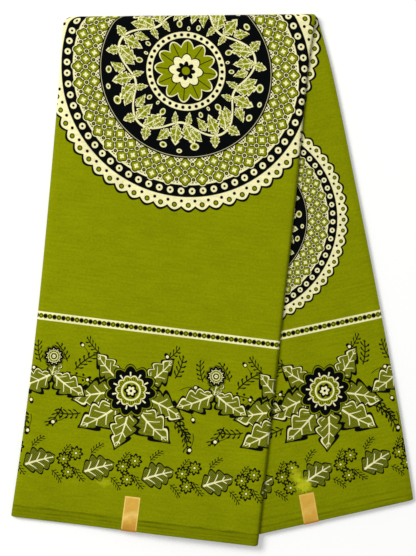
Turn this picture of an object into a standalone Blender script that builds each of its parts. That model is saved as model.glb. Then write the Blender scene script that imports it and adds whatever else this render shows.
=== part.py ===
# A length of printed cotton cloth, folded and lying flat.
#
# The cloth is folded to and fro in its length into a stack about 280 mm wide, and the stack is folded
# once across its middle. The upper half, the front arm, is swung to the left. The lower half, the
# back arm, fans out to the right beneath it. A foil seal is wrapped over the hem of each arm.
# Metres, +Z up, +Y towards the fold, +X to the right, origin at the middle of the underside.

import math
from collections import namedtuple

import bmesh
import bpy
from mathutils.bvhtree import BVHTree

MM = 0.001

# Heights of the stack, in mm
SHEET = 1.0          # wall of each stretch of cloth that shows
LAYERS = 4.6         # hidden layers of one arm, pressed together
CLEAR = 0.3          # between one piece and the next

BACK_LAYERS_BASE = SHEET + CLEAR
BACK_FACE = BACK_LAYERS_BASE + LAYERS + CLEAR + SHEET
FRONT_BASE = BACK_FACE + CLEAR
FRONT_FACE = FRONT_BASE + LAYERS + CLEAR + SHEET
BEND_RADIUS = FRONT_FACE / 2
BEND_INSIDE = BEND_RADIUS - SHEET - CLEAR

# Soft shape of the stack, in mm
SIDE_ROLL = 1.4      # how far the face rounds down at a side edge
SIDE_ROLL_WIDTH = 8.0
HEM_ROLL = 0.5       # how far it rounds down at the hem
HEM_ROLL_WIDTH = 9.0
SLOPE_WIDTH = 110.0  # where the front arm comes down beside the back arm
PANEL_SETBACK = 4.0  # the back arm's face ends this far inside the fold
GROOVE = 1.1         # depth of the groove between two bundles of layers
LEFT_CORNER = 9.0    # radii seen from above
RIGHT_CORNER = 4.0
HEM_CORNER = 1.8

# The hidden end of the back arm's hem lies further in than its seen part.
HEM_RISE = 25.0
HEM_RISE_SHARE = 0.36
HEM_RISE_POWER = 10

# Edges of each arm seen from above, in mm, by the share of the way from the fold to the hem
Edges = namedtuple("Edges", "along left_x left_y right_x right_y")
FRONT = (
    Edges(0.00, -171.5, 302.0, 118.2, 303.6),
    Edges(0.12, -175.3, 233.4, 108.4, 230.7),
    Edges(0.35, -185.2, 102.0, 94.2, 91.1),
    Edges(0.60, -199.0, -40.8, 77.2, -60.7),
    Edges(0.80, -212.8, -155.1, 64.2, -182.2),
    Edges(1.00, -229.2, -269.4, 51.1, -303.6),
)
BACK = (
    Edges(0.00, -171.5, 302.0, 119.9, 303.6),
    Edges(0.12, -153.5, 228.4, 137.4, 237.1),
    Edges(0.35, -121.0, 87.4, 164.4, 109.6),
    Edges(0.60, -92.0, -65.9, 191.4, -28.9),
    Edges(0.80, -70.0, -188.5, 211.1, -139.8),
    Edges(1.00, -45.9, -311.0, 229.2, -250.6),
)

# Bundles of layers from the lowest up: how far each stands back from the outline, in mm
Bundle = namedtuple("Bundle", "left right hem")
FRONT_BUNDLES = (
    Bundle(1.5, 0.6, 1.2),
    Bundle(0.3, 1.6, 0.4),
    Bundle(1.1, 0.3, 1.7),
    Bundle(0.4, 1.2, 0.6),
)
BACK_BUNDLES = (
    Bundle(0.5, 1.4, 0.4),
    Bundle(1.4, 0.4, 1.5),
    Bundle(0.4, 1.1, 0.5),
    Bundle(1.2, 0.3, 1.0),
)

# Foil seals, in mm: place across the arm, width, length on the face, and length down the hem
Seal = namedtuple("Seal", "across width length down")
FRONT_SEAL = Seal(0.477, 17.6, 39.0, 4.6)
BACK_SEAL = Seal(0.577, 17.2, 33.5, 4.6)
SEAL_WALL = 0.4
SEAL_TURN = 0.7      # how far it stands out from the hem
SEAL_EDGE = 0.3      # where its turn starts, inside the hem

# Faces along and across each piece
ALONG_CUTS = 26
ACROSS_CUTS = 16
BEND_CUTS = 10
UNDER_CUTS = 8
SEAL_FACE_CUTS = 5
SEAL_TURN_CUTS = 4
ROWS_PER_BUNDLE = 3

Finish = namedtuple("Finish", "name colour roughness metallic")
PRINTED_CLOTH = Finish("printed_cloth", (0.23, 0.26, 0.002), 0.85, 0.0)
FOLDED_LAYERS = Finish("folded_layers", (0.17, 0.19, 0.004), 0.90, 0.0)
GOLD_FOIL = Finish("gold_foil", (0.72, 0.44, 0.10), 0.35, 0.6)


def smooth_step(t):
    t = min(max(t, 0.0), 1.0)
    return t * t * (3.0 - 2.0 * t)


def eased(t):
    """Spacing from 0 to 1 that is fine at both ends."""
    return 0.5 - 0.5 * math.cos(math.pi * t)


def between(rows, along):
    """The edges at a share of the way along an arm, on a smooth curve through its rows."""
    last = len(rows) - 1
    i = max(k for k in range(last) if along >= rows[k].along or k == 0)
    low, high = rows[i], rows[i + 1]
    before, after = rows[max(i - 1, 0)], rows[min(i + 2, last)]
    span = high.along - low.along
    t = (along - low.along) / span
    values = []
    for a, b, c, d in zip(before, low, high, after):
        start = (c - a) / (high.along - before.along) * span
        end = (d - b) / (after.along - low.along) * span
        values.append(
            b * (2 * t**3 - 3 * t**2 + 1)
            + start * (t**3 - 2 * t**2 + t)
            + c * (3 * t**2 - 2 * t**3)
            + end * (t**3 - t**2)
        )
    return Edges(*values)


def side_length(rows, across):
    """Length of an arm from fold to hem, at a share of its width."""
    fold, hem = rows[0], rows[-1]
    x = (hem.left_x - fold.left_x) * (1 - across) + (hem.right_x - fold.right_x) * across
    y = (hem.left_y - fold.left_y) * (1 - across) + (hem.right_y - fold.right_y) * across
    return math.hypot(x, y)


def along_arm(rows, across, setback, share):
    """The share of the way from fold to hem, for a share of the way back from the hem to a setback."""
    return 1 - (1 - setback / side_length(rows, across)) * eased(share)


def arm_width(rows, along):
    row = between(rows, along)
    return math.hypot(row.right_x - row.left_x, row.right_y - row.left_y)


def corner_inset(distance, radius):
    """How far a round corner takes the edge in, at a distance from the end of the arm."""
    if distance >= radius:
        return 0.0
    return radius - math.sqrt(radius**2 - (radius - distance) ** 2)


def plan(rows, across, along):
    """A point of an arm seen from above."""
    row = between(rows, along)
    from_fold = along * side_length(rows, across)
    from_hem = (1 - along) * side_length(rows, across)
    hem_inset = corner_inset(from_hem, HEM_CORNER)
    left = row.left_x + corner_inset(from_fold, LEFT_CORNER) + hem_inset
    right = row.right_x - corner_inset(from_fold, RIGHT_CORNER) - hem_inset
    x = left + (right - left) * across
    y = row.left_y + (row.right_y - row.left_y) * across
    if rows is BACK and across < HEM_RISE_SHARE:
        y += HEM_RISE * (1 - across / HEM_RISE_SHARE) ** 2 * along**HEM_RISE_POWER
    return x, y


def front_base(x, y):
    """Height of the front arm's underside, which lies on the back arm and comes down beside it."""
    along = (BACK[0].left_y - y) / (BACK[0].left_y - BACK[-1].left_y)
    beside = between(BACK, min(max(along, 0.0), 1.0)).left_x - x
    return FRONT_BASE * (1 - smooth_step(beside / SLOPE_WIDTH))


def roll(rows, across, along):
    """How far the face of an arm rounds down near its sides and hem."""
    from_side = min(across, 1 - across) * arm_width(rows, along)
    from_hem = (1 - along) * side_length(rows, across)
    side = max(0.0, 1 - from_side / SIDE_ROLL_WIDTH) ** 2
    hem = max(0.0, 1 - from_hem / HEM_ROLL_WIDTH) ** 2
    return SIDE_ROLL * side + HEM_ROLL * hem


def front_point(across, along, height):
    """A point of the front arm, at a height above its underside."""
    x, y = plan(FRONT, across, along)
    drop = roll(FRONT, across, along) * min(height / LAYERS, 1.0)
    return x, y, front_base(x, y) + height - drop


def back_point(across, along, height):
    """A point of the back arm, at a height above the surface that it lies on."""
    x, y = plan(BACK, across, along)
    drop = roll(BACK, across, along) * min((height - BACK_LAYERS_BASE) / LAYERS, 1.0)
    return x, y, height - drop


def front_face(across, along):
    return front_point(across, along, FRONT_FACE - FRONT_BASE)


def back_face(across, along):
    return back_point(across, along, BACK_FACE)


def bend_rounding(across, upward):
    """How far the upper part of the bend rounds in near its sides."""
    return roll(FRONT, across, 0.0) * max(upward, 0.0)


def bend_point(across, angle):
    """A point on the outside of the fold, by its angle from the top of the bend."""
    lower = (1 - math.cos(angle)) / 2
    radius = BEND_RADIUS - bend_rounding(across, math.cos(angle))
    from_fold = BEND_RADIUS - radius * math.sin(angle)
    front_x, front_y = plan(FRONT, across, from_fold / side_length(FRONT, across))
    back_x, back_y = plan(BACK, across, from_fold / side_length(BACK, across))
    x = front_x + (back_x - front_x) * lower
    y = front_y + (back_y - front_y) * lower
    return x, y, BEND_RADIUS + radius * math.cos(angle)


def end_setback(across, z):
    """How far hidden layers at a height end inside the fold, to fit the round of the bend."""
    rise = z - BEND_RADIUS
    inside = BEND_INSIDE - bend_rounding(across, rise / BEND_INSIDE)
    return BEND_RADIUS - math.sqrt(max(inside**2 - rise**2, 0.0))


def make_object(name, finish, mesh_builder, collection):
    """A mesh object with its own material, from a bmesh."""
    mesh = bpy.data.meshes.new(name)
    mesh_builder.to_mesh(mesh)
    mesh_builder.free()
    material = bpy.data.materials.new(f"{name}_{finish.name}")
    material.use_nodes = True
    shader = material.node_tree.nodes["Principled BSDF"]
    shader.inputs["Base Color"].default_value = (*finish.colour, 1.0)
    shader.inputs["Roughness"].default_value = finish.roughness
    shader.inputs["Metallic"].default_value = finish.metallic
    mesh.materials.append(material)
    thing = bpy.data.objects.new(name, mesh)
    collection.objects.link(thing)
    return thing


def add_wall(thing, thickness, outwards):
    wall = thing.modifiers.new("wall", "SOLIDIFY")
    wall.thickness = thickness * MM
    wall.offset = 1.0 if outwards else -1.0
    wall.use_even_offset = True


def add_matching_triangles(thing):
    """Cuts each face along its shorter diagonal, so that stacked pieces stay parallel."""
    cut = thing.modifiers.new("triangles", "TRIANGULATE")
    cut.quad_method = "SHORTEST_DIAGONAL"


def make_sheet(name, finish, across_cuts, along_cuts, point, collection):
    """An open sheet from a grid, whose point at (across, step from the hem) is given by a function."""
    builder = bmesh.new()
    bmesh.ops.create_grid(builder, x_segments=across_cuts, y_segments=along_cuts, size=0.5)
    for vert in builder.verts:
        across = vert.co.x + 0.5
        step = (vert.co.y + 0.5) * along_cuts
        vert.co = [value * MM for value in point(across, step)]
    return make_object(name, finish, builder, collection)


def front_panel(collection):
    """The front arm's face, which turns round the fold down to the floor."""

    def point(share, step):
        across = eased(share)
        if step > ALONG_CUTS:
            return bend_point(across, math.pi * (step - ALONG_CUTS) / BEND_CUTS)
        return front_face(across, along_arm(FRONT, across, BEND_RADIUS, step / ALONG_CUTS))

    cuts = ALONG_CUTS + BEND_CUTS
    panel = make_sheet("front_panel", PRINTED_CLOTH, ACROSS_CUTS, cuts, point, collection)
    add_wall(panel, SHEET, outwards=False)
    add_matching_triangles(panel)
    return panel


def back_panel(collection):
    """The back arm's face, which lies between the arms and shows at the right."""

    def point(share, step):
        across = eased(share)
        return back_face(across, along_arm(BACK, across, PANEL_SETBACK, step / ALONG_CUTS))

    panel = make_sheet("back_panel", PRINTED_CLOTH, ACROSS_CUTS, ALONG_CUTS, point, collection)
    add_wall(panel, SHEET, outwards=False)
    add_matching_triangles(panel)
    return panel


def under_panel(collection):
    """The outermost stretch beneath the back arm, flat on the surface."""

    def point(share, step):
        across = eased(share)
        along = along_arm(BACK, across, BEND_RADIUS + CLEAR, step / ALONG_CUTS)
        return *plan(BACK, across, along), 0.0

    panel = make_sheet("under_panel", PRINTED_CLOTH, UNDER_CUTS, ALONG_CUTS, point, collection)
    add_wall(panel, SHEET, outwards=True)


def block_with_cuts(across_cuts, along_cuts, height_cuts):
    """A unit cube cut into a lattice of faces, with its corners at 0 and 1."""
    builder = bmesh.new()
    bmesh.ops.create_cube(builder, size=1.0)
    for axis, count in enumerate((across_cuts, along_cuts, height_cuts)):
        runs = [
            edge
            for edge in builder.edges
            if abs(edge.verts[0].co[axis] - edge.verts[1].co[axis]) > 0.5
        ]
        bmesh.ops.subdivide_edges(builder, edges=runs, cuts=count - 1, use_grid_fill=True)
    for vert in builder.verts:
        vert.co = [value + 0.5 for value in vert.co]
    return builder


def bundle_setback(bundles, row, side):
    """How far an edge stands back at a row of faces, and whether that row is a groove."""
    index = min(row // ROWS_PER_BUNDLE, len(bundles) - 1)
    nose = getattr(bundles[index], side)
    if row % ROWS_PER_BUNDLE:
        return nose
    below = getattr(bundles[max(index - 1, 0)], side)
    return max(nose, below) + GROOVE


def layers(name, bundles, point, base, collection):
    """The hidden layers of an arm as one rounded solid, with its bundles showing at the edges."""
    rows = ROWS_PER_BUNDLE * len(bundles)
    builder = block_with_cuts(ACROSS_CUTS, ALONG_CUTS, rows)
    arm = FRONT if point is front_point else BACK
    for vert in builder.verts:
        share, to_fold, level = vert.co
        across = eased(share)
        height = base + level * LAYERS
        setback = end_setback(across, point(across, 0.0, height)[2])
        x, y, z = point(across, along_arm(arm, across, setback, to_fold), height)
        row = round(level * rows)
        if share < 0.001:
            x += bundle_setback(bundles, row, "left")
        if share > 0.999:
            x -= bundle_setback(bundles, row, "right")
        if to_fold < 0.001:
            y += bundle_setback(bundles, row, "hem")
        vert.co = (x * MM, y * MM, z * MM)
    add_matching_triangles(make_object(name, FOLDED_LAYERS, builder, collection))


def seal(name, size, rows, panel, collection):
    """A strip of foil that lies on an arm's face, turns over its hem and runs down it."""
    bpy.context.view_layer.update()
    surface = BVHTree.FromObject(panel, bpy.context.evaluated_depsgraph_get())
    length = side_length(rows, size.across)
    half_share = size.width / 2 / arm_width(rows, 1.0)

    def face(across, from_hem):
        x, y = plan(rows, across, 1 - from_hem / length)
        hit = surface.ray_cast((x * MM, y * MM, 1.0), (0.0, 0.0, -1.0))[0]
        return x, y, hit.z / MM

    def point(across, step):
        place = size.across + (2 * across - 1) * half_share
        turn_left = SEAL_TURN_CUTS + 1 - step
        if turn_left <= 0:
            x, y, z = face(place, SEAL_EDGE - turn_left / SEAL_FACE_CUTS * size.length)
            return x, y, z + CLEAR
        x, y, z = face(place, SEAL_EDGE)
        inner_x, inner_y, _ = face(place, size.length)
        run = math.hypot(x - inner_x, y - inner_y)
        angle = math.pi / 2 * min(turn_left / SEAL_TURN_CUTS, 1.0)
        out = (SEAL_EDGE + SEAL_TURN) * math.sin(angle)
        down = SEAL_TURN * (1 - math.cos(angle)) + (size.down if step < 1 else 0.0)
        x += (x - inner_x) / run * out
        y += (y - inner_y) / run * out
        return x, y, z + CLEAR - down

    cuts = SEAL_FACE_CUTS + SEAL_TURN_CUTS + 1
    strip = make_sheet(name, GOLD_FOIL, 3, cuts, point, collection)
    add_wall(strip, SEAL_WALL, outwards=True)


def stand_on_origin(collection):
    """Moves every mesh so that the middle of the whole part's underside is the origin."""
    graph = bpy.context.evaluated_depsgraph_get()
    corners = [
        vert.co
        for thing in collection.objects
        for vert in thing.evaluated_get(graph).data.vertices
    ]
    middle = [(min(c[i] for c in corners) + max(c[i] for c in corners)) / 2 for i in range(2)]
    lowest = min(c[2] for c in corners)
    for thing in collection.objects:
        for vert in thing.data.vertices:
            vert.co.x -= middle[0]
            vert.co.y -= middle[1]
            vert.co.z -= lowest


def main():
    for thing in list(bpy.data.objects):
        bpy.data.objects.remove(thing)
    collection = bpy.data.collections.new("folded_printed_cloth")
    bpy.context.scene.collection.children.link(collection)
    front = front_panel(collection)
    layers("front_layers", FRONT_BUNDLES, front_point, 0.0, collection)
    back = back_panel(collection)
    layers("back_layers", BACK_BUNDLES, back_point, BACK_LAYERS_BASE, collection)
    under_panel(collection)
    seal("front_seal", FRONT_SEAL, FRONT, front, collection)
    seal("back_seal", BACK_SEAL, BACK, back, collection)
    stand_on_origin(collection)


main()
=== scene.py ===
import math
import bmesh
import bpy
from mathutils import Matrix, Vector
from mathutils.bvhtree import BVHTree


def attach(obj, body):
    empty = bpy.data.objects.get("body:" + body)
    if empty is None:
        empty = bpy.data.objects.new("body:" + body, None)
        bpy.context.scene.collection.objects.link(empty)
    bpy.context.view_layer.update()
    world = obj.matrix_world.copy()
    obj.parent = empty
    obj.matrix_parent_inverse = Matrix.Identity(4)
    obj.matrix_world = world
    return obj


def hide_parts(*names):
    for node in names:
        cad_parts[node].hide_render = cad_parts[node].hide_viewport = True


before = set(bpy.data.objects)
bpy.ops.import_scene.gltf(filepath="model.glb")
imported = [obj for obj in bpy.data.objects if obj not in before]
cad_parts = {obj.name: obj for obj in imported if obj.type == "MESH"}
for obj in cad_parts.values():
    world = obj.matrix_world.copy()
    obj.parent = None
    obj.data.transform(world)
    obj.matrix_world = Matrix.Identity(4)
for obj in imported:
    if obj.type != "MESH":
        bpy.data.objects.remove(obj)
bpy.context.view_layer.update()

mm = 0.001
print("frame loaded")

# the stack, as the frame has it, in mm
stack = {
    "frontBase": 7.5,   # the front arm's underside where it lies on the back arm
    "backBase": 1.3,    # the underside of the back arm's hidden layers
    "frontFace": 13.4, "backFace": 7.2, "bendRadius": 6.7, "layers": 4.6,
    "sideRoll": 1.3, "sideRollWidth": 8, "hemRoll": 0.5, "hemRollWidth": 9,
    "rightRound": 3.2, "rightRoundFade": 60,   # where the front arm's face turns down on the right
    "slopeWidth": 110,  # how far the front arm takes to come down beside the back arm
    "leftCorner": 11, "rightCorner": 4, "hemCorner": 1.8,
    "hemRise": 25, "hemRiseShare": 0.36, "hemRisePower": 10,   # the hidden end of the back arm's hem
}


def table(names, *rows):
    return [dict(zip(names, row)) for row in rows]


# edges of each arm seen from above, mm: share of the way from fold to hem, left x, y, right x, y
edgeNames = ("along", "leftX", "leftY", "rightX", "rightY")
frontEdges = table(
    edgeNames,
    (0.00, -168.6, 299.7, 117.4, 302.6),
    (0.12, -173.3, 233.4, 108.4, 230.7),
    (0.35, -184.9, 102, 94.9, 91.1),
    (0.60, -199, -40.8, 78.2, -60.7),
    (0.80, -212.8, -155.1, 65.1, -181.6),
    (1.00, -229.2, -269.4, 51.9, -302.3),
)
backEdges = table(
    edgeNames,
    (0.00, -168.6, 299.7, 118.9, 302.6),
    (0.12, -153.5, 228.4, 136.4, 237.1),
    (0.35, -121, 87.4, 163, 109.6),
    (0.60, -92, -65.9, 190.5, -28.9),
    (0.80, -70, -188.5, 211.1, -139.8),
    (1.00, -45.9, -311, 229.2, -250.6),
)


def smoothStep(t):
    t = min(max(t, 0.0), 1.0)
    return t * t * (3 - 2 * t)


def mix(low, high, share):
    return low + (high - low) * share


def eased(t):
    return 0.5 - 0.5 * math.cos(math.pi * t)   # fine at both ends


def spaced(t, fine):
    return mix(t, eased(t), fine)   # partly fine at both ends, otherwise even


def edgesAt(rows, along):
    # a smooth curve through the rows, read at a share of the way along
    last = len(rows) - 1
    i = max(k for k in range(last) if along >= rows[k]["along"] or k == 0)
    low, high = rows[i], rows[i + 1]
    before, after = rows[max(i - 1, 0)], rows[min(i + 2, last)]
    span = high["along"] - low["along"]
    t = (along - low["along"]) / span
    found = {}
    for name in edgeNames[1:]:
        start = (high[name] - before[name]) / (high["along"] - before["along"]) * span
        end = (after[name] - low[name]) / (after["along"] - low["along"]) * span
        found[name] = (low[name] * (2 * t**3 - 3 * t**2 + 1) + start * (t**3 - 2 * t**2 + t)
                       + high[name] * (3 * t**2 - 2 * t**3) + end * (t**3 - t**2))
    return found


def armLength(rows, across):
    fold, hem = rows[0], rows[-1]
    x = mix(hem["leftX"] - fold["leftX"], hem["rightX"] - fold["rightX"], across)
    y = mix(hem["leftY"] - fold["leftY"], hem["rightY"] - fold["rightY"], across)
    return math.hypot(x, y)


def armWidth(rows, along):
    row = edgesAt(rows, along)
    return math.hypot(row["rightX"] - row["leftX"], row["rightY"] - row["leftY"])


def cornerInset(distance, radius):
    if distance >= radius:
        return 0.0
    return radius - math.sqrt(radius**2 - (radius - max(distance, 0.0)) ** 2)


def plan(rows, across, along):
    # a point of an arm seen from above, mm
    row = edgesAt(rows, along)
    fromFold = along * armLength(rows, across)
    fromHem = (1 - along) * armLength(rows, across)
    hemInset = cornerInset(fromHem, stack["hemCorner"])
    left = row["leftX"] + cornerInset(fromFold, stack["leftCorner"]) + hemInset
    right = row["rightX"] - cornerInset(fromFold, stack["rightCorner"]) - hemInset
    x, y = mix(left, right, across), mix(row["leftY"], row["rightY"], across)
    if rows is backEdges and across < stack["hemRiseShare"]:
        y += stack["hemRise"] * (1 - across / stack["hemRiseShare"]) ** 2 * along ** stack["hemRisePower"]
    return x, y


def frontBase(x, y):
    along = (backEdges[0]["leftY"] - y) / (backEdges[0]["leftY"] - backEdges[-1]["leftY"])
    beside = edgesAt(backEdges, min(max(along, 0.0), 1.0))["leftX"] - x
    return stack["frontBase"] * (1 - smoothStep(beside / stack["slopeWidth"]))


def rollAt(rows, across, along):
    # how far the face rounds down near the sides and the hem
    fromSide = max(min(across, 1 - across), 0.0) * armWidth(rows, along)
    fromHem = max(1 - along, 0.0) * armLength(rows, across)
    side = max(0.0, 1 - fromSide / stack["sideRollWidth"]) ** 2
    hem = max(0.0, 1 - fromHem / stack["hemRollWidth"]) ** 2
    return stack["sideRoll"] * side + stack["hemRoll"] * hem


def rightRound(fromFold):
    return stack["rightRound"] * smoothStep(fromFold / stack["rightRoundFade"])


def armPoint(rows, across, along, height):
    # height is over the arm's own underside
    x, y = plan(rows, across, along)
    low, base = (0.0, frontBase(x, y)) if rows is frontEdges else (stack["backBase"], 0.0)
    drop = rollAt(rows, across, along) * min(max(height - low, 0.0) / stack["layers"], 1.0)
    return x, y, base + height - drop


def bendPoint(across, angle, frontRadius, backRadius):
    # round the fold, by the angle from the top of the bend
    lower = (1 - math.cos(angle)) / 2
    radius = mix(frontRadius, backRadius, lower)
    rounding = rollAt(frontEdges, across, 0.0) * max(math.cos(angle), 0.0)
    radius -= rounding * radius / stack["bendRadius"]
    fromFold = stack["bendRadius"] - radius * math.sin(angle)
    frontX, frontY = plan(frontEdges, across, fromFold / armLength(frontEdges, across))
    backX, backY = plan(backEdges, across, fromFold / armLength(backEdges, across))
    z = stack["bendRadius"] + radius * math.cos(angle)
    return mix(frontX, backX, lower), mix(frontY, backY, lower), z


print("outline ready")

# the cloth as it lies: counts of faces, walls, folded edges and layers, mm
outerCloth = {
    "across": 124, "front": 210, "bend": 20, "under": 60, "acrossFine": 0.8, "alongFine": 0.35,
    "wall": 0.3, "edgeRadius": 0.42, "edgeTurn": 4, "edgeFade": 0.025, "lip": 6, "lipCount": 2,
}
innerCloth = {"along": 200, "setback": 4.0}
foldedCloth = {
    "layers": 18, "across": 8, "front": 52, "bend": 10, "back": 52, "wall": 0.2,
    "frontLow": 0.15, "frontHigh": 5.2,      # heights over the front arm's underside
    "backLow": 0.5, "backHigh": 6.2,
    "noseLeast": 0.15, "noseMost": 1.7,      # how far folded edges stand back from the outline
    "nosePhase": 2.4, "leftPhase": 1.3, "noseSpread": 1.9,
    "noseWave": 0.28, "noseFast": 9, "noseSlow": 3.1, "nosePairPhase": 1.7,
    "hemLeast": 0.1, "hemMost": 1.9, "hemPhase": 1.9, "hemStart": 0.7,
    "hemWave": 0.35, "hemFast": 5, "hemLayerPhase": 1.3,
    "bulge": 0.14, "edgeReach": 12, "roundClear": 0.3, "printShift": 40,
}
# each seal's fold, edge and low numbers set how strong the foil's painted highlight over its fold, its
# painted highlight along its cut edges and its painted shade on its low part are; its tone scales the whole
# foil colour, a painted brightening on the back seal
seals = {
    "front": {"across": 0.477, "width": 17.6, "length": 39, "down": 4.6,
              "fold": 0.85, "edgeHighlight": 0.75, "low": 0.55, "tone": 1},
    "back": {"across": 0.577, "width": 17.2, "length": 33.5, "down": 4.6,
             "fold": 0.30, "edgeHighlight": 0.35, "low": 0.20, "tone": 1.05},
    "wall": 0.12, "clear": 0.06, "turn": 0.55, "edge": 0.3, "turnRipple": 0.5,
    "widthCount": 12, "faceCount": 34, "turnCount": 6, "downCount": 5,
    "dent": 0.05, "dentWave": 0.5, "long": (7, 15), "short": (-9, 31), "shortShare": 0.6, "dentFade": 16,
}
clothWidth = 1170.0
cornerAngle = 50.0   # a wall's corners sharper than this stay sharp, degrees


def placed(name, data):
    thing = bpy.data.objects.new(name, data)
    bpy.context.scene.collection.objects.link(thing)
    return thing


def withWall(name, bm, wall, offset):
    # an open sheet with its wall, whose corners stay sharp
    mesh = bpy.data.meshes.new(name)
    bm.to_mesh(mesh)
    bm.free()
    sheet = placed(name, mesh)
    solid = sheet.modifiers.new("wall", "SOLIDIFY")
    solid.thickness = wall * mm
    solid.offset = offset
    graph = bpy.context.evaluated_depsgraph_get()
    walled = bpy.data.meshes.new_from_object(sheet.evaluated_get(graph))
    sheet.modifiers.remove(solid)
    sheet.data = walled
    bpy.data.meshes.remove(mesh)
    walled.name = name
    walled.shade_smooth()
    walled.set_sharp_from_angle(angle=math.radians(cornerAngle))
    return sheet


def gridSheet(name, columns, rows, place, wall=outerCloth["wall"], offset=-1.0):
    # place(column, row) gives a point in mm and its place on the flat cloth, also in mm
    bm = bmesh.new()
    bmesh.ops.create_grid(bm, x_segments=columns, y_segments=rows, size=0.5)
    flat = bm.loops.layers.uv.new("cloth")
    laid = {}
    for vert in bm.verts:
        column = round((vert.co.x + 0.5) * columns)
        row = round((vert.co.y + 0.5) * rows)
        point, laid[vert] = place(column, row)
        vert.co = [value * mm for value in point]
    for face in bm.faces:
        for loop in face.loops:
            loop[flat].uv = [value * mm for value in laid[loop.vert]]
    return withWall(name, bm, wall, offset)


def edgePath(cloth):
    # across a sheet with both sides folded under: share, shift inwards, and drop below the face
    radius, turn, lip = cloth["edgeRadius"], cloth["edgeTurn"], cloth["lipCount"]
    side = []
    for i in range(lip):
        side.append({"shift": radius + cloth["lip"] * (lip - i) / lip, "drop": 2 * radius})
    for i in range(turn):
        angle = math.pi * (1 - i / turn)
        side.append({"shift": radius - radius * math.sin(angle), "drop": radius - radius * math.cos(angle)})
    left = [dict(step, across=0.0, sign=1) for step in side]
    right = [dict(step, across=1.0, sign=-1) for step in reversed(side)]
    count = cloth["across"]
    face = []
    for i in range(count + 1):
        share = spaced(i / count, cloth["acrossFine"])
        fade = max(1 - min(share, 1 - share) / cloth["edgeFade"], 0.0)
        sign = 1 if share < 0.5 else -1
        face.append({"across": share, "sign": sign, "shift": radius * fade, "drop": 0.0})
    return left + face + right


sheetPath = edgePath(outerCloth)


def flatAcross(rows, along, step):
    width = armWidth(rows, along)
    if step["drop"] == 0:
        return step["across"] * width
    beyond = math.pi / 2 * step["drop"] + max(step["shift"] - outerCloth["edgeRadius"], 0.0)
    return -beyond if step["across"] == 0 else width + beyond


def facePoint(rows, step, share, setback, height, creases):
    # share along, point and flat place of an arm's face, by the share of the way back from the hem
    across, drop = step["across"], step["drop"]
    length = armLength(rows, across)
    along = mix(1, setback / length, spaced(share, outerCloth["alongFine"]))
    x, y, z = armPoint(rows, across, along, height - drop)
    if drop == 0:
        z += creaseAt(creases, x, y) + unevenAt(x, y)
    return along, (x, y, z), (flatAcross(rows, along, step), (1 - along) * length)


def makeOuterCloth():
    # the outermost stretch: the front face, round the fold, and the underside of the back arm
    front, bend, under = outerCloth["front"], outerCloth["bend"], outerCloth["under"]
    height, fold = stack["frontFace"] - stack["frontBase"], stack["bendRadius"]

    def place(column, row):
        step = sheetPath[column]
        across, drop = step["across"], step["drop"]
        shift = step["sign"] * step["shift"]
        if row <= front:
            along, (x, y, z), flat = facePoint(frontEdges, step, row / front, fold, height, frontCreases)
            fromRight = (1 - across) * armWidth(frontEdges, along)
            z -= cornerInset(fromRight, rightRound(along * armLength(frontEdges, across)))
        elif row <= front + bend:
            angle = math.pi * (row - front) / bend
            x, y, z = bendPoint(across, angle, fold - drop, fold - drop)
            flat = (flatAcross(frontEdges, 0.0, step), armLength(frontEdges, across) - fold * (1 - angle))
        else:
            share = (row - front - bend) / under
            length = armLength(backEdges, across)
            along = mix(fold / length, 1, share)
            x, y = plan(backEdges, across, along)
            z = drop
            flat = (flatAcross(backEdges, along, step), clothWidth - (1 - along) * length)
        return (x + shift, y, z), flat

    return gridSheet("outer_cloth", len(sheetPath) - 1, front + bend + under, place)


def makeInnerCloth():
    # the stretch between the arms, which shows as the back arm's face
    count, setback, height = innerCloth["along"], innerCloth["setback"], stack["backFace"]

    def place(column, row):
        step = sheetPath[column]
        _, (x, y, z), flat = facePoint(backEdges, step, row / count, setback, height, backCreases)
        return (x + step["sign"] * step["shift"], y, z), flat

    return gridSheet("inner_cloth", len(sheetPath) - 1, count, place)


def foldedPath():
    # to and fro through all the layers: share across, layer, and how far round a folded edge
    path = []
    count, across = foldedCloth["layers"], foldedCloth["across"]
    for layer in range(count):
        forward = layer % 2 == 0
        for i in range(across + 1):
            share = eased(i / across)
            path.append({"across": share if forward else 1 - share, "layer": layer, "turn": 0.0})
        if layer < count - 1:
            for turn in (1 / 3, 2 / 3):
                path.append({"across": 1.0 if forward else 0.0, "layer": layer + turn, "turn": turn})
    return path


def stoodBack(name, phase, wave):
    # how far an edge stands back, with a slight wave along it
    least, most = foldedCloth[name + "Least"], foldedCloth[name + "Most"]
    return mix(least, most, 0.5 + 0.5 * math.sin(phase)) + abs(foldedCloth[name + "Wave"] * wave)


def noseBack(layer, leftSide, along):
    # for a folded edge, uneven from fold to fold and along it; leftSide is 1 or 0
    cloth = foldedCloth
    pair = math.floor((layer + leftSide) / 2)
    seed = pair * cloth["nosePhase"] + cloth["leftPhase"] * leftSide
    wave = math.sin(along * cloth["noseFast"] + pair * cloth["nosePairPhase"])
    return stoodBack("nose", seed * cloth["noseSpread"], wave * math.sin(along * cloth["noseSlow"] + seed))


def hemBack(layer, across):
    cloth = foldedCloth
    wave = math.sin(across * cloth["hemFast"] + layer * cloth["hemLayerPhase"])
    return stoodBack("hem", layer * cloth["hemPhase"] + cloth["hemStart"], wave)


def roundedBack(height, radius):
    # how far a layer at this height stays back under the face where that turns down
    over = height - (stack["frontFace"] - stack["frontBase"] - radius)
    if over <= 0 or radius == 0:
        return 0.0
    return radius - math.sqrt(max(radius**2 - over**2, 0.0)) + foldedCloth["roundClear"]


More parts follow.
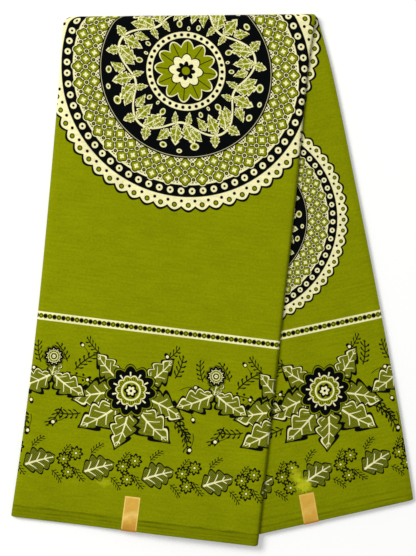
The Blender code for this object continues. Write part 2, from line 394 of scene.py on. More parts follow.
def makeFoldedCloth():
    # all the hidden layers as one cloth, folded to and fro and then round the fold
    cloth, fold = foldedCloth, stack["bendRadius"]
    path = foldedPath()
    front, bend, back = cloth["front"], cloth["bend"], cloth["back"]

    def place(column, row):
        step = path[column]
        across, layer = step["across"], step["layer"]
        level = layer / (cloth["layers"] - 1)
        frontHeight = mix(cloth["frontLow"], cloth["frontHigh"], level)
        backHeight = mix(cloth["backHigh"], cloth["backLow"], level)
        rows, height, share, seed = frontEdges, frontHeight, 1 - row / front, layer
        if row > front + bend:
            rows, height, share, seed = backEdges, backHeight, (row - front - bend) / back, layer + 0.5
        length = armLength(rows, across)
        if front < row <= front + bend:
            along, angle = 0.0, math.pi * (row - front) / bend
            x, y, z = bendPoint(across, angle, stack["frontBase"] + frontHeight - fold, fold - backHeight)
            fromHem = length - fold * (1 - angle)
        else:
            hem = 1 - hemBack(seed, across) / length
            along = mix(fold / length, hem, eased(share))
            x, y, z = armPoint(rows, across, along, height)
            fromHem = (1 - along) * length
        nearLeft = max(1 - across * cloth["edgeReach"], 0.0)
        nearRight = max(1 - (1 - across) * cloth["edgeReach"], 0.0)
        bulge = math.sin(math.pi * step["turn"]) * cloth["bulge"]
        x += nearLeft * (noseBack(layer, 1, along) - bulge)
        x -= nearRight * (noseBack(layer, 0, along) - bulge)
        if row <= front:
            x -= nearRight * roundedBack(frontHeight, rightRound(along * length))
        flat = across * armWidth(rows, along) + math.floor(layer) * cloth["printShift"]
        return (x, y, z), (flat, fromHem if rows is frontEdges else clothWidth - fromHem)

    return gridSheet("folded_cloth", len(path) - 1, front + bend + back, place, cloth["wall"], 0.0)


def makeSeal(name, size, rows, cloth):
    # a strip of foil on the face, turned over the hem and pressed down it
    surface = BVHTree.FromObject(cloth, bpy.context.evaluated_depsgraph_get())
    length = armLength(rows, size["across"])
    halfShare = size["width"] / 2 / armWidth(rows, 1.0)
    down, turn, face = seals["downCount"], seals["turnCount"], seals["faceCount"]

    def onFace(across, fromHem):
        x, y = plan(rows, across, 1 - fromHem / length)
        hit = surface.ray_cast((x * mm, y * mm, 1.0), (0.0, 0.0, -1.0))[0]
        return x, y, hit.z / mm + seals["clear"]

    def place(column, row):
        share = column / seals["widthCount"]
        across = size["across"] + (2 * share - 1) * halfShare
        ripple = foilRipple(share, row / (down + turn + face))
        if row >= down + turn:
            fromHem = seals["edge"] + (row - down - turn) / face * size["length"]
            x, y, z = onFace(across, fromHem)
            return (x, y, z + ripple), (share * size["width"], fromHem)
        x, y, z = onFace(across, seals["edge"])
        innerX, innerY, _ = onFace(across, size["length"])
        run = math.hypot(x - innerX, y - innerY)
        angle = math.pi / 2 * min((down + turn - row) / turn, 1.0)
        out = (seals["edge"] + seals["turn"]) * math.sin(angle) + ripple * seals["turnRipple"]
        fall = seals["turn"] * (1 - math.cos(angle)) + size["down"] * max(down - row, 0) / down
        x += (x - innerX) / run * out
        y += (y - innerY) / run * out
        return (x, y, z - fall), (share * size["width"], -fall)

    return gridSheet(name, seals["widthCount"], down + turn + face, place, seals["wall"], 1.0)


def foilRipple(across, along):
    # slight dents in the foil, none at its very edges
    fade = min(min(across, 1 - across) * min(along, 1 - along) * seals["dentFade"], 1.0)
    (longX, longY), (shortX, shortY) = seals["long"], seals["short"]
    wave = math.sin(across * longX + along * longY)
    wave += seals["shortShare"] * math.sin(across * shortX + along * shortY)
    return seals["dent"] * (1 + seals["dentWave"] * wave) * fade


# soft creases, mm: where each starts and ends, its width and its height, negative for a trough
creaseNames = ("x0", "y0", "x1", "y1", "width", "height")
frontCreases = table(
    creaseNames,
    (-96, -165, -70, -183, 3, -0.16),
    (-205, -20, -60, -60, 9, 0.14),
    (-60, 250, -110, 40, 12, -0.12),
    (40, 60, 66, -90, 8, 0.10),
    (-180, -210, -150, -120, 7, 0.12),
)
backCreases = table(
    creaseNames,
    (118, -170, 128, -177, 3, -0.14),
    (150, 60, 185, -80, 8, 0.12),
)
creaseEnds = {"beyond": 0.3, "fade": 0.5, "reach": 3}   # shares of its length, and widths beside it
uneven = {
    "broad": 0.10, "broadX": 0.045, "broadStart": 1.2, "broadY": 0.031, "slant": 0.012,
    "fine": 0.06, "fineX": 0.09, "fineY": 0.07,
}


def creaseAt(creases, x, y):
    beyond, fade = creaseEnds["beyond"], creaseEnds["fade"]
    total = 0.0
    for crease in creases:
        runX, runY = crease["x1"] - crease["x0"], crease["y1"] - crease["y0"]
        length = math.hypot(runX, runY)
        along = ((x - crease["x0"]) * runX + (y - crease["y0"]) * runY) / length**2
        beside = ((x - crease["x0"]) * runY - (y - crease["y0"]) * runX) / length
        if -beyond < along < 1 + beyond and abs(beside) < creaseEnds["reach"] * crease["width"]:
            ends = smoothStep((along + beyond) / fade) * smoothStep((1 + beyond - along) / fade)
            total += crease["height"] * ends * math.exp(-(beside / crease["width"]) ** 2)
    return total


def unevenAt(x, y):
    # the slight unevenness of many layers under the face
    broad = math.sin(x * uneven["broadX"] + uneven["broadStart"])
    broad *= math.sin(y * uneven["broadY"] + x * uneven["slant"])
    return uneven["broad"] * broad + uneven["fine"] * math.sin(x * uneven["fineX"] - y * uneven["fineY"])


def root(piece, slot, *nodes):
    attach(piece, "root")
    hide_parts(*nodes)


outer = makeOuterCloth()
inner = makeInnerCloth()
folded = makeFoldedCloth()
print("cloth laid")
frontSeal = makeSeal("front_seal_foil", seals["front"], frontEdges, outer)
backSeal = makeSeal("back_seal_foil", seals["back"], backEdges, inner)
print("seals pressed on")

root(outer, "printed_cloth", "front_panel", "under_panel")
root(inner, "printed_cloth", "back_panel")
root(folded, "folded_layers", "front_layers", "back_layers")
root(frontSeal, "gold_foil", "front_seal")
root(backSeal, "gold_foil", "back_seal")

# floor, light and camera
view = {"centre": (-4.8, 2.3), "tall": 634.7, "distance": 2000, "sensor": 36, "farthest": 20}
studio = {
    "sky": 0.45, "skyColour": (0.95, 0.96, 1),
    "key": 289, "keyColour": (1, 0.985, 0.93), "keyPlace": (-2.9, 2.2, 4), "keySize": 2.2,
    "floor": 0.64, "floorGlow": 0.30, "floorRoughness": 0.9, "floorSize": 4, "floorZ": -0.0002,
}


def newMaterial(name, roughness):
    material = bpy.data.materials.new(name)
    material.use_nodes = True
    shader = material.node_tree.nodes["Principled BSDF"]
    shader.inputs["Roughness"].default_value = roughness
    return material, shader


def makeFloor():
    bm = bmesh.new()
    bmesh.ops.create_grid(bm, x_segments=1, y_segments=1, size=studio["floorSize"])
    mesh = bpy.data.meshes.new("floor")
    bm.to_mesh(mesh)
    bm.free()
    floor = placed("floor", mesh)
    floor.location.z = studio["floorZ"]
    pale, shader = newMaterial("pale floor", studio["floorRoughness"])
    shader.inputs["Base Color"].default_value = (studio["floor"], studio["floor"], studio["floor"], 1)
    shader.inputs["Emission Color"].default_value = (1, 1, 1, 1)
    shader.inputs["Emission Strength"].default_value = studio["floorGlow"]
    floor.data.materials.append(pale)


def makeLight():
    world = bpy.data.worlds.new("studio")
    bpy.context.scene.world = world
    world.use_nodes = True
    sky = world.node_tree.nodes["Background"]
    sky.inputs["Color"].default_value = (*studio["skyColour"], 1)
    sky.inputs["Strength"].default_value = studio["sky"]
    key = bpy.data.lights.new("key", "AREA")
    key.energy = studio["key"]
    key.size = studio["keySize"]
    key.color = studio["keyColour"]
    lamp = placed("key", key)
    lamp.location = studio["keyPlace"]
    lamp.rotation_euler = (-Vector(studio["keyPlace"])).to_track_quat("-Z", "Y").to_euler()


def makeCamera():
    camera = placed("camera", bpy.data.cameras.new("camera"))
    camera.data.sensor_width = view["sensor"]
    camera.data.lens = view["sensor"] * view["distance"] / view["tall"]
    camera.data.clip_end = view["farthest"]
    camera.location = (view["centre"][0] * mm, view["centre"][1] * mm, view["distance"] * mm)
    bpy.context.scene.camera = camera


class Field:
    # a number that a material works out at every point
    def __init__(self, socket):
        self.socket = socket

    def __add__(self, other):
        return calc("ADD", self, other)

    def __sub__(self, other):
        return calc("SUBTRACT", self, other)

    def __rsub__(self, other):
        return calc("SUBTRACT", other, self)

    def __mul__(self, other):
        return calc("MULTIPLY", self, other)

    def __abs__(self):
        return calc("ABSOLUTE", self)


def feed(slot, value):
    # links a field or a colour that is worked out, or sets a plain number or colour
    value = value.socket if isinstance(value, Field) else value
    if isinstance(value, bpy.types.NodeSocket):
        slot.id_data.links.new(value, slot)
    else:
        slot.default_value = (*value, 1) if isinstance(value, tuple) else value


def calc(kind, *values):
    tree = next(value.socket.id_data for value in values if isinstance(value, Field))
    node = tree.nodes.new("ShaderNodeMath")
    node.operation = kind
    for slot, value in zip(node.inputs, values):
        feed(slot, value)
    return Field(node.outputs[0])


def linear(value, factor, plus):
    return calc("MULTIPLY_ADD", value, factor, plus)


def least(first, *others):
    for other in others:
        first = calc("MINIMUM", first, other)
    return first


def most(first, *others):
    for other in others:
        first = calc("MAXIMUM", first, other)
    return first


def sine(angle):
    return calc("SINE", angle)


def fraction(value):
    return calc("FRACT", value)


def spread(x, y):
    return calc("SQRT", linear(x, x, y * y))


def polar(x, y):
    return spread(x, y), calc("ARCTAN2", y, x)


def repeated(value, centre, pitch):
    # the distance from the nearest of even places along a line
    return calc("WRAP", value - centre, pitch / 2, -pitch / 2)


# inks on the cloth, and how far they spread at an edge, mm
inks = {
    "field": (0.205, 0.234, 0.0008),
    "cream": (0.80, 0.76, 0.42),
    "black": (0.0022, 0.0028, 0.0030),
    "hatch": (0.0040, 0.0050, 0.0130),
}
inkSpread, fineSpread = 0.3, 0.2


def inside(distance, blur=inkSpread):
    # from 0 beyond an edge to 1 within it
    return linear(distance, -0.5 / blur, 0.5)


def limited(mask):
    return most(least(mask, 1.0), 0.0)


def paint(under, over, mask):
    node = mask.socket.id_data.nodes.new("ShaderNodeMix")
    node.data_type = "RGBA"
    for slot, value in ((0, mask), (6, under), (7, over)):
        feed(node.inputs[slot], value)
    return node.outputs[2]


def turned(x, y, degrees):
    c, s = math.cos(math.radians(degrees)), math.sin(math.radians(degrees))
    return linear(x, c, y * s), linear(x, -s, y * c)


def drawnOnce(name, draw):
    # keeps a pattern as a node group; each step of its drawing is an ink and the distance from its edge,
    # or a finished motif and its place
    group = bpy.data.node_groups.new(name, "ShaderNodeTree")
    for title, kind in (("Under", "Color"), ("X", "Float"), ("Y", "Float")):
        group.interface.new_socket(title, in_out="INPUT", socket_type="NodeSocket" + kind)
    group.interface.new_socket("Colour", in_out="OUTPUT", socket_type="NodeSocketColor")
    colour, x, y = group.nodes.new("NodeGroupInput").outputs[:3]
    for first, *rest in draw(Field(x), Field(y)):
        colour = first(colour, *rest) if callable(first) else paint(colour, inks[first], inside(*rest))
    group.links.new(colour, group.nodes.new("NodeGroupOutput").inputs[0])

    def lay(under, x, y):
        node = x.socket.id_data.nodes.new("ShaderNodeGroup")
        node.node_tree = group
        for slot, value in zip(node.inputs, (under, x, y)):
            feed(slot, value)
        return node.outputs[0]

    return lay


def nested(distance, layers):
    # inks one inside the other, each with how far it reaches past an edge
    for ink, reach in layers:
        yield ink, distance - reach if reach else distance


# leaves as drawn, mm; where one is laid it is turned, and scaled if need be
leafNames = ("length", "half", "bend", "tooth", "slant", "rib", "pen", "outline", "ink")
broadLeaf, lobedLeaf, paleLeaf = table(
    leafNames,
    (47, 16.5, 8, 12, 0.5, 11, 0.75, 2, 0.18),
    (37, 15, 3, 9.4, -0.1, 9.5, 0.80, 2.2, 0.25),
    (21, 7, 3, 4.4, 0.7, 6.5, 0.42, 1.3, 0),
)
leafForm = {
    "taper": 0.6, "stalkEnd": 1.25, "tipEnd": 0.5,   # its width from stalk to tip
    "cut": 0.36, "sweep": 1.15, "ribReach": 0.62, "ribThin": 0.8, "middle": 1.7, "middleThin": 1.3,
    "margin": 2.4, "hatch": 1.7, "hatchSlant": 0.6, "hatchMargin": 0.5,
    "bright": 0.9, "brightHalf": 0.75, "brightFrom": 1, "shade": 0.3, "shadeHalf": 1.5, "shadeFrom": 3.5,
}


def leafShape(x, y, kind):
    # a notched leaf from its stalk at 0, 0: distance from its edge and its veins, and place beside its rib
    form, length, half, pen = leafForm, kind["length"], kind["half"], kind["pen"]
    y = linear(x * x, kind["bend"] / length**2, y)
    side = abs(y)
    taper = most(linear(x, -form["taper"] / length, form["stalkEnd"]), form["tipEnd"])
    reach = x * (length - x) * (4 * half / length**2) * taper
    lobe = abs(sine(linear(side, kind["slant"], x) * (math.pi / kind["tooth"])))
    edge = side - reach * linear(lobe, form["cut"], 1 - form["cut"])
    curved = side * linear(side, 0.5 / half, -form["sweep"])
    ribs = fraction((x + curved) * (1 / kind["rib"]))
    rib = linear(abs(ribs - 0.5), kind["rib"], -pen) + side * (form["ribThin"] * pen / half)
    rib = most(rib, linear(reach, -form["ribReach"], side))
    middle = side + linear(x, form["middleThin"] * pen / length, -form["middle"] * pen)
    return edge, most(least(rib, middle), edge + form["margin"], x * -1.0), y


def inkDarkLeaf(kind, rim):
    # black outline, hatched inside, cream veins; with a rim, cream on one side and black on the other
    form = leafForm

    def ink(x, y):
        edge, veins, beside = leafShape(x, y, kind)
        yield "black", edge - kind["outline"]
        yield "field", edge
        hatch = fraction(linear(beside, form["hatchSlant"], x) * (1 / form["hatch"])) - 0.5
        lines = linear(abs(hatch), form["hatch"], -kind["ink"] * form["hatch"])
        yield "hatch", most(lines, edge + form["hatchMargin"]), fineSpread
        if rim:
            bright = abs(edge + form["bright"]) - form["brightHalf"]
            yield "cream", most(bright, beside + form["brightFrom"])
            yield "black", most(abs(edge + form["shade"]) - form["shadeHalf"], form["shadeFrom"] - beside)
        yield "cream", veins
    return ink


def inkPaleLeaf(x, y):
    edge, veins, _ = leafShape(x, y, paleLeaf)
    yield "cream", edge
    yield "field", edge + paleLeaf["outline"]
    yield "cream", veins


# a thin twig with slanting leaflets and a dot at the end of each, mm
sprig = {
    "length": 27, "bend": 7, "pen": 0.72, "bare": 2, "tip": 1,
    "first": 2.5, "pitch": 5.6, "slant": 0.8, "leaflet": 4.2, "leafletPen": 0.7, "dot": 1.35,
}


def inkSprig(x, y):
    s = sprig
    length = s["length"]
    side = abs(linear(x * x, s["bend"] / length**2, y))
    stem = most(side - s["pen"], x * -1.0, x - length)
    slant = abs(repeated(x - side * s["slant"], s["first"], s["pitch"]))
    within = most(s["bare"] - x, x - length + s["tip"])
    leaflet = most(slant - s["leafletPen"], side - s["leaflet"], within)
    dot = most(spread(slant, side - s["leaflet"]) - s["dot"], within)
    yield "black", least(stem, leaflet, dot)


# a black drop with a cream fruit, on a thin bent stalk, mm
berry = {
    "stalk": 14, "bend": 0.03, "pen": 0.4, "fruitX": 15.5, "fruitY": -7, "fruit": 2.9, "light": 1.7,
    "dropX": 17.5, "dropY": -8.5, "drop": 2.3,
}


def inkBerry(x, y):
    b = berry
    stalk = most(abs(linear(x * x, b["bend"], y)) - b["pen"], x * -1.0, x - b["stalk"])
    fruit = spread(x - b["fruitX"], y - b["fruitY"])
    drop = spread(x - b["dropX"], y - b["dropY"])
    yield "black", least(stalk, fruit - b["fruit"], drop - b["drop"])
    yield "cream", fruit - b["light"]


layLeaf = {
    "broad": drawnOnce("broad leaf", inkDarkLeaf(broadLeaf, True)),
    "lobed": drawnOnce("lobed leaf", inkDarkLeaf(lobedLeaf, False)),
    "pale": drawnOnce("pale leaf", inkPaleLeaf),
    "sprig": drawnOnce("sprig", inkSprig),
    "berry": drawnOnce("berry", inkBerry),
}


def spots(kind, *rows):
    return table(("kind", "x", "y", "degrees", "scale", "flip"), *((kind, *row) for row in rows))


def spotAt(x, y, spot):
    # one motif of a table, turned and to its scale, at its distance from x, y
    x, y = turned(x, y, spot["degrees"])
    scale = 1 / spot["scale"]
    return layLeaf[spot["kind"]], x * scale, y * (scale * spot["flip"])


def rowOf(motifs, u, v, cell):
    # the motifs of a table in each cell along the hem
    for spot in motifs:
        yield spotAt(repeated(u, spot["x"], cell), v - spot["y"], spot)


def petals(radius, angle, count, reach, depth, turn=0.0):
    # distance from the edge of a round of petals
    lobe = abs(calc("COSINE", linear(angle, count / 2, turn)))
    return linear(lobe, -depth, radius) - (reach - depth)


# a blossom as drawn, mm; each round has a count of petals, their reach and their depth
blossom = {
    "outer": (11, 27, 5), "outerInks": (("black", 0.9), ("field", -0.3), ("black", -1.5)),
    "streaks": 11, "streak": 3, "streakCut": 1.3, "streakOuter": 7.5, "streakInner": 15,
    "middle": (11, 16.2, 2.4, math.pi / 2), "middleInks": (("cream", 0), ("field", -1.2)),
    "rays": 18, "ray": 1.8, "rayCut": 0.8, "rayOuter": 2, "rayInner": 10.4,
    "ring": 9.4, "ringHalf": 0.8, "inner": (6, 7.6, 2.4), "heart": (6, 4.8, 1.8), "pip": 1.4,
}


def inkBlossom(x, y):
    b = blossom
    radius, angle = polar(x, y)
    outer = petals(radius, angle, *b["outer"])
    yield from nested(outer, b["outerInks"])
    streak = linear(abs(sine(angle * b["streaks"])), b["streak"], -b["streakCut"])
    yield "cream", most(streak, outer + b["streakOuter"], b["streakInner"] - radius)
    middle = petals(radius, angle, *b["middle"])
    yield from nested(middle, b["middleInks"])
    ray = linear(abs(sine(angle * b["rays"])), b["ray"], -b["rayCut"])
    yield "black", most(ray, b["rayInner"] - radius, middle + b["rayOuter"]), fineSpread
    yield "cream", abs(radius - b["ring"]) - b["ringHalf"]
    yield "black", petals(radius, angle, *b["inner"])
    yield "cream", petals(radius, angle, *b["heart"])
    yield "black", radius - b["pip"]


layBlossom = drawnOnce("blossom", inkBlossom)

# the border: motifs in a cell that repeats along the hem, mm from the cell's start and its middle line
border = {
    "cell": 186, "middle": 152, "stemHeight": 15, "stemPen": 0.55,
    "leafletPitch": 8, "leafletOut": 3, "leaflet": 1.4,
    "blossoms": ((20, 34, 0.46), (112, 6, 1.10)),   # x, y and scale
}
borderSpots = spots(
    "sprig", (46, 22, 58, 1.05, 1), (36, 30, 112, 0.90, -1), (160, 26, 62, 1, -1),
    (164, -22, -30, 1.05, 1), (58, -26, 200, 1, 1), (170, -12, -88, 0.95, -1), (36, -22, -108, 1, 1),
    (72, 44, 150, 0.85, 1), (146, 44, 34, 0.85, -1), (176, -30, -58, 1, 1), (6, 26, 118, 0.90, 1),
) + spots(
    "berry", (168, 14, 40, 1, 1), (156, 34, 92, 1, -1), (44, -30, 236, 1.1, 1),
    (50, 2, 18, 0.9, -1), (176, -4, -30, 1, 1), (60, 38, 100, 0.9, -1), (2, -34, -70, 1.1, 1),
) + spots(
    "broad", (97, 16, 146, 0.82, 1), (128, 16, 38, 0.86, -1), (96, 2, 186, 1.06, -1),
    (128, 0, -12, 1.02, 1), (102, -10, 226, 1.12, 1), (121, -12, -50, 1.12, -1), (112, -14, 268, 1, 1),
    (20, 14, 216, 0.96, 1), (22, 14, 322, 0.90, -1), (20, 12, 84, 0.52, 1),
)


def inkBorder(u, v):
    b = border
    cell = b["cell"]
    y = v - b["middle"]
    stem = abs(linear(sine(u * (2 * math.pi / cell)), -b["stemHeight"], y))
    leaflet = spread(repeated(u, 0.0, b["leafletPitch"]), stem - b["leafletOut"])
    yield "black", least(stem - b["stemPen"], leaflet - b["leaflet"])
    yield from rowOf(borderSpots, u, y, cell)
    for middleX, middleY, size in b["blossoms"]:
        across, up = repeated(u, middleX, cell), y - middleY
        yield layBlossom, across * (1 / size), up * (1 / size)


# the narrow band under the border, and the beaded stripe above it, mm from the hem
band = {
    "cell": 68, "rosettes": ((46, 72), (59, 80), (53, 58)), "rosette": (8, 7.3, 3),
    "pen": 1.25, "pipInks": (("black", 1.9), ("cream", 1.2)),
}
bandSpots = spots(
    "sprig", (44, 74, 78, 0.62, 1), (60, 64, -64, 0.70, -1), (8, 82, 60, 0.66, 1), (34, 58, -30, 0.66, 1),
) + spots("lobed", (2, 60, 26, 1.0, 1))
beadStripe = {
    "middle": 230, "half": 4.7, "beadPitch": 5.2, "beadInks": (("field", 2.95), ("black", 2.3)),
    "openPitch": 10.4, "open": 1.45,
}


def inkBand(u, v):
    cell = band["cell"]
    yield from rowOf(bandSpots, u, v, cell)
    for middleX, middleY in band["rosettes"]:
        radius, angle = polar(repeated(u, middleX, cell), v - middleY)
        yield "black", abs(petals(radius, angle, *band["rosette"])) - band["pen"]
        yield from nested(radius, band["pipInks"])


def inkStripe(u, v):
    # cream, with touching beads, black and open by turns
    y = v - beadStripe["middle"]
    yield "cream", abs(y) - beadStripe["half"]
    yield from nested(spread(repeated(u, 0.0, beadStripe["beadPitch"]), y), beadStripe["beadInks"])
    yield "field", spread(repeated(u, 0.0, beadStripe["openPitch"]), y) - beadStripe["open"]


# the medallion's rings, mm from its middle at full size
medallion = {
    "full": 160, "outline": 2.9, "scallops": 60, "scallopDepth": 4.6,
    "heart": 151.6, "heartInks": (("black", 3), ("field", 1.8)), "dot": 147, "dotSize": 1.8,
    "beads": 68, "beadsEdge": 142.5, "beadsMiddle": 135.75, "beadInks": (("cream", 3.7), ("black", 1.4)),
    "trellis": 129, "stipple": 1.6, "stippleSize": 0.05, "stippleEdge": 127,
    "diamonds": 40, "rows": (105.5, 114.5, 123), "lobe": 1.6,
    "diamondInks": (("cream", 6.4), ("black", 5.5), ("field", 4.3), ("cream", 1.4)),
    "ringInks": (("cream", 2.8), ("black", 2.1), ("field", 0.8)),
    "innerInks": (("black", 99), ("cream", 97.4), ("black", 97)),
    "stemMiddle": 70, "sprays": 10, "stemHeight": 11, "stem": 1.2,
    "fruits": ((14, -16, 4), (-15, -18, 3.2), (0, -21, 2.4)),
    "fruitEdge": 1.2, "fruitEye": 0.28,
    "collar": 45, "collarInner": 38, "collarMiddle": 41.5, "collarBeads": 34, "collarBead": 2,
    "petals": 12, "petalReach": 36, "petalDepth": 8, "petalEdge": 1.6, "seam": 0.5,
    "cup": (8, 19, 5), "cupInks": (("black", 1.5), ("cream", 0)), "core": (8, 11, 4), "eye": 4.5,
}
spraySpots = spots(
    "pale", (-15, 1, -106, 0.90, 1), (-5, 9, -96, 1.16, -1), (4, 10, -58, 1.20, 1),
    (12, 4, -64, 0.90, -1), (-7, 8, 118, 0.72, 1), (7, 8, 62, 0.76, -1),
)


def around(angle, radius, count, shift=0.0):
    # distance along the ring from the nearest of count even places
    turn = fraction(linear(angle, count / (2 * math.pi), shift + count)) - 0.5
    return turn * radius * (2 * math.pi / count)


def inkMedallionEdge(radius, angle):
    m = medallion
    rim = petals(radius, angle, m["scallops"], m["full"] - m["outline"], m["scallopDepth"])
    yield from nested(rim, (("black", m["outline"]), ("cream", 0)))
    heart = spread(around(angle, radius, m["scallops"], 0.5), radius - m["heart"])
    yield from nested(heart, m["heartInks"])
    yield "black", spread(around(angle, radius, m["scallops"]), radius - m["dot"]) - m["dotSize"]
    yield "black", radius - m["beadsEdge"]
    yield from nested(spread(around(angle, radius, m["beads"]), radius - m["beadsMiddle"]), m["beadInks"])


def inkTrellis(x, y, radius, angle):
    # stippled cream, with staggered rows of olive diamonds and small rings between them
    m = medallion
    yield "cream", radius - m["trellis"]
    speck = linear(sine(x * m["stipple"]), sine(y * m["stipple"]), m["stippleSize"])
    yield "black", most(speck, radius - m["stippleEdge"])
    diamond, ring = None, None
    for row, place in enumerate(m["rows"]):
        shift = 0.5 * (row % 2)
        out = radius - place
        across = around(angle, radius, m["diamonds"], shift)
        lobes = abs(calc("COSINE", calc("ARCTAN2", out, across) * 2))
        lobes = linear(lobes, -m["lobe"], spread(across, out))
        gap = spread(around(angle, radius, m["diamonds"], shift + 0.5), out)
        diamond = lobes if diamond is None else least(diamond, lobes)
        ring = gap if ring is None else least(ring, gap)
    yield from nested(diamond, m["diamondInks"])
    yield from nested(ring, m["ringInks"])
    yield from nested(radius, m["innerInks"])


def inkGarland(radius, angle):
    # a running stem on black, with leaves in its bends
    m = medallion
    flip = calc("SIGN", sine(angle * (m["sprays"] / 2)))
    turn = around(angle, m["stemMiddle"], m["sprays"])
    out = (radius - m["stemMiddle"]) * flip
    bends = calc("COSINE", turn * (m["sprays"] / m["stemMiddle"] / 2))
    yield "cream", abs(linear(bends, -m["stemHeight"], out)) - m["stem"]
    for spot in spraySpots:
        yield spotAt(turn - spot["x"], out - spot["y"], spot)
    for fruitX, fruitY, size in m["fruits"]:
        sizes = (("cream", size), ("field", size - m["fruitEdge"]), ("black", size * m["fruitEye"]))
        yield from nested(spread(turn - fruitX, out - fruitY), sizes)


def inkRosette(radius, angle):
    m = medallion
    yield "cream", radius - m["collar"]
    bead = spread(around(angle, radius, m["collarBeads"]), radius - m["collarMiddle"])
    yield "black", bead - m["collarBead"]
    yield "black", radius - m["collarInner"]
    outer = petals(radius, angle, m["petals"], m["petalReach"], m["petalDepth"])
    yield from nested(outer, (("cream", 0), ("field", -m["petalEdge"])))
    yield "black", most(abs(around(angle, radius, m["petals"], 0.5)) - m["seam"], outer + m["petalEdge"])
    yield from nested(petals(radius, angle, *m["cup"]), m["cupInks"])
    yield "black", petals(radius, angle, *m["core"])
    yield "field", radius - m["eye"]


def inkMedallion(x, y):
    radius, angle = polar(x, y)
    yield from inkMedallionEdge(radius, angle)
    yield from inkTrellis(x, y, radius, angle)
    yield from inkGarland(radius, angle)
    yield from inkRosette(radius, angle)


layBorder = drawnOnce("border", inkBorder)
layBand = drawnOnce("narrow band", inkBand)
layStripe = drawnOnce("beaded stripe", inkStripe)
layMedallion = drawnOnce("medallion", inkMedallion)
print("print drawn")

# how the print lies on each stretch, mm on the flat cloth: middles and sizes of its medallions, faded
# patches, and darker lines along the hem, each with its distance, half width and depth
outerPrint = {
    "name": "printed cotton, outer", "shift": 4, "drop": 0, "pitch": 600, "depth": 1,
    "medallions": ((143, 525, 160),),
    "patches": ((100, 51, 7, 4, 0.35),),
    "lines": ((0.9, 0.9, 0.74), (4.2, 0.8, 0.74), (8, 1, 0.66), (10.6, 0.5, 0.80), (13, 1, 0.56),
              (7, 6, 0.95)),
}
# the back arm's face: its depth of 0.94 is painted shade
innerPrint = {
    "name": "printed cotton, inner", "shift": 94, "drop": 14, "pitch": 600, "depth": 0.94,
    "medallions": ((141, 570, 150), (148, 354, 124)),
    "patches": ((162.3, 43.2, 8.4, 7.2, 0.9), (155.8, 57.2, 4.6, 9.5, 0.6)),
    "lines": ((0.9, 0.9, 0.70), (3.5, 0.7, 0.76), (7.4, 1, 0.70), (15.2, 1.2, 0.85)),
}
# the hidden layers: their depth of 0.92 is painted shade on their edges
foldedPrint = dict(outerPrint, name="printed cotton, folded", shift=0, pitch=322, depth=0.92,
                   patches=(), lines=())
cotton = {
    "roughness": 0.85, "gloss": 0.008, "sheen": 0.010, "faded": (0.46, 0.49, 0.012),
    "cloudSize": (0.030, 0.030), "cloud": 0.26, "slubSize": (0.026, 0.0024), "slub": 0.38,
    "grainSize": (0.0026, 0.0026), "grain": 0.44, "raggedSize": (0.006, 0.006), "ragged": 1.6,
    "patchBlur": 0.35, "selvage": 42, "selvageBlur": 14, "selvageDepth": 0.93,
    "lineWander": 4, "lineBlur": 0.9, "lineBreaks": 3, "lineWhole": 0.9,
    "thread": 0.55, "threadHeight": 0.05, "threadBump": 0.4, "slubHeight": 1.5,
}


def noiseAt(tree, place, size, detail=2.0):
    # soft noise around 0, with features of this size in m across and along
    stretch = tree.nodes.new("ShaderNodeVectorMath")
    stretch.operation = "MULTIPLY"
    tree.links.new(place, stretch.inputs[0])
    stretch.inputs[1].default_value = (1 / size[0], 1 / size[1], 1)
    noise = tree.nodes.new("ShaderNodeTexNoise")
    noise.inputs["Scale"].default_value = 1
    noise.inputs["Detail"].default_value = detail
    tree.links.new(stretch.outputs[0], noise.inputs["Vector"])
    return Field(noise.outputs[0]) - 0.5


def clothPlace(tree):
    # the place on the flat cloth, and its two sides in mm
    flat = tree.nodes.new("ShaderNodeUVMap")
    flat.uv_map = "cloth"
    parts = tree.nodes.new("ShaderNodeSeparateXYZ")
    tree.links.new(flat.outputs[0], parts.inputs[0])
    return flat.outputs[0], Field(parts.outputs[0]) * (1 / mm), Field(parts.outputs[1]) * (1 / mm)


def toneInto(shader, colour, depth):
    tree = shader.id_data
    tone = tree.nodes.new("ShaderNodeVectorMath")
    tone.operation = "SCALE"
    tree.links.new(colour, tone.inputs[0])
    feed(tone.inputs["Scale"], depth)
    tree.links.new(tone.outputs[0], shader.inputs["Base Color"])


def bumpInto(shader, height, strength, distance):
    bump = shader.id_data.nodes.new("ShaderNodeBump")
    bump.inputs["Strength"].default_value = strength
    bump.inputs["Distance"].default_value = distance * mm
    feed(bump.inputs["Height"], height)
    shader.id_data.links.new(bump.outputs[0], shader.inputs["Normal"])


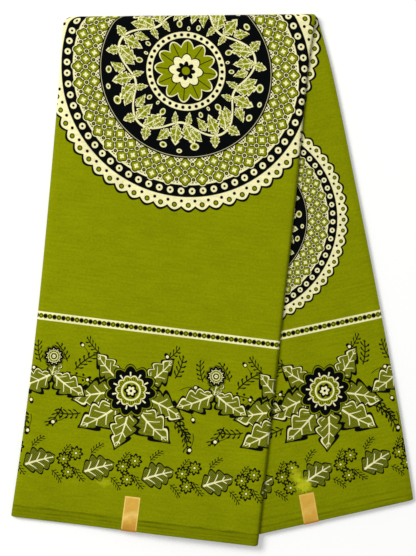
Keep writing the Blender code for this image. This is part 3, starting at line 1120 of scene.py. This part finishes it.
def makeCloth(design):
    c = cotton
    material, shader = newMaterial(design["name"], c["roughness"])
    shader.inputs["Specular IOR Level"].default_value = c["gloss"]
    shader.inputs["Sheen Weight"].default_value = c["sheen"]
    tree = material.node_tree
    flat, u, v = clothPlace(tree)
    toHem = least(v, clothWidth - v)
    shifted, printed = u - design["shift"], toHem + design["drop"]
    colour = layBorder(inks["field"], shifted, printed)
    colour = layBand(colour, shifted, printed)
    colour = layStripe(colour, shifted, printed)
    for across, along, size in design["medallions"]:
        scale = medallion["full"] / size
        colour = layMedallion(colour, repeated(u, across, design["pitch"]) * scale, (v - along) * scale)

    # faded patches, then the dye's clouds and slubs, deeper towards the selvage and in the darker lines
    # along the hem
    ragged = noiseAt(tree, flat, c["raggedSize"])
    for across, along, halfWidth, halfHeight, strength in design["patches"]:
        reach = spread((u - across) * (1 / halfWidth), (toHem - along) * (1 / halfHeight))
        patch = inside(linear(ragged, c["ragged"], reach) - 1.0, c["patchBlur"])
        colour = paint(colour, c["faded"], limited(patch) * strength)
    cloud = noiseAt(tree, flat, c["cloudSize"], 3.0)
    slub = noiseAt(tree, flat, c["slubSize"], 3.0)
    grain = noiseAt(tree, flat, c["grainSize"])
    # a design's depth below 1 is painted shade over its whole stretch
    depth = linear(slub, c["slub"], cloud * c["cloud"]) + design["depth"]
    depth = linear(grain, c["grain"], depth)
    nearHem = limited(inside(toHem - c["selvage"], c["selvageBlur"]))
    depth = depth * linear(nearHem, c["selvageDepth"] - 1, 1.0)
    for fromHem, half, dark in design["lines"]:
        beside = abs(linear(slub, c["lineWander"], toHem) - fromHem)
        darkLine = limited(inside(beside - half, c["lineBlur"]))
        darkLine = darkLine * linear(cloud, c["lineBreaks"], c["lineWhole"])
        depth = depth * linear(darkLine, dark - 1, 1.0)
    toneInto(shader, colour, depth)

    # warp and weft threads
    turn = 2 * math.pi / c["thread"]
    weave = linear(sine(u * turn), sine(v * turn), slub * c["slubHeight"])
    bumpInto(shader, weave, c["threadBump"], c["threadHeight"])
    return material


# the foil, with painted highlight and painted shade: its fold, its low part and its turn over the hem, by
# share of its length or mm from the hem; the lighter gold is the painted highlight's colour, the deeper
# gold the painted shade's
foil = {
    "gold": (0.76, 0.445, 0.060), "bright": (0.96, 0.68, 0.19), "paintedShadeGold": (0.55, 0.235, 0.010),
    "metallic": 0.6, "roughness": 0.42, "edge": 1.4, "edgeBlur": 0.4, "wrinkle": 0.16, "wrinkleBump": 0.5,
    "softSize": (0.009, 0.013), "soft": 0.36, "fineSize": (0.0016, 0.0022), "fine": 0.24,
    "slant": -0.32, "foldAt": 0.38, "foldHalf": 2.6, "foldBlur": 3, "foldWander": 9,
    "lowAt": 0.22, "lowBlur": 3.6, "lowWander": 10, "turnAt": 1.6, "turnBlur": 0.6, "turnShade": 0.9,
}


def makeFoil(name, size):
    # painted highlight along its cut edges and over a slanting fold, painted shade on its low part and
    # where it turns down over the hem
    f = foil
    material, shader = newMaterial(name, f["roughness"])
    shader.inputs["Metallic"].default_value = f["metallic"]
    tree = material.node_tree
    flat, u, v = clothPlace(tree)
    soft, fine = noiseAt(tree, flat, f["softSize"], 3.0), noiseAt(tree, flat, f["fineSize"], 3.0)
    slant = linear(u, f["slant"], v) - size["length"] * f["foldAt"]
    fold = abs(linear(soft, f["foldWander"], slant)) - f["foldHalf"]
    # painted highlight over the slanting fold
    colour = paint(f["gold"], f["bright"], limited(inside(fold, f["foldBlur"])) * size["fold"])
    low = linear(soft, f["lowWander"], v) - size["length"] * f["lowAt"]
    # painted shade on the low part
    colour = paint(colour, f["paintedShadeGold"], limited(inside(low, f["lowBlur"])) * size["low"])
    toEdge = least(u, size["width"] - u, size["length"] - v) - f["edge"]
    # painted highlight along the cut edges
    colour = paint(colour, f["bright"], limited(inside(toEdge, f["edgeBlur"])) * size["edgeHighlight"])
    # painted shade where the foil turns down over the hem
    turnedDownShade = limited(inside(v - f["turnAt"], f["turnBlur"])) * f["turnShade"]
    colour = paint(colour, f["paintedShadeGold"], turnedDownShade)
    # noise varies the foil's tone at random; each seal's tone scales it, a painted brightening on the back
    # seal
    toneInto(shader, colour, linear(soft, f["soft"], fine * f["fine"]) + size["tone"])
    bumpInto(shader, fine + soft, f["wrinkleBump"], f["wrinkle"])
    return material


makeFloor()
makeLight()
makeCamera()
bpy.context.scene.view_settings.view_transform = "Standard"
for piece, design in ((outer, outerPrint), (inner, innerPrint), (folded, foldedPrint)):
    piece.data.materials.append(makeCloth(design))
for piece, side in ((frontSeal, "front"), (backSeal, "back")):
    piece.data.materials.append(makeFoil("gold foil, " + side, seals[side]))
print("scene lit")
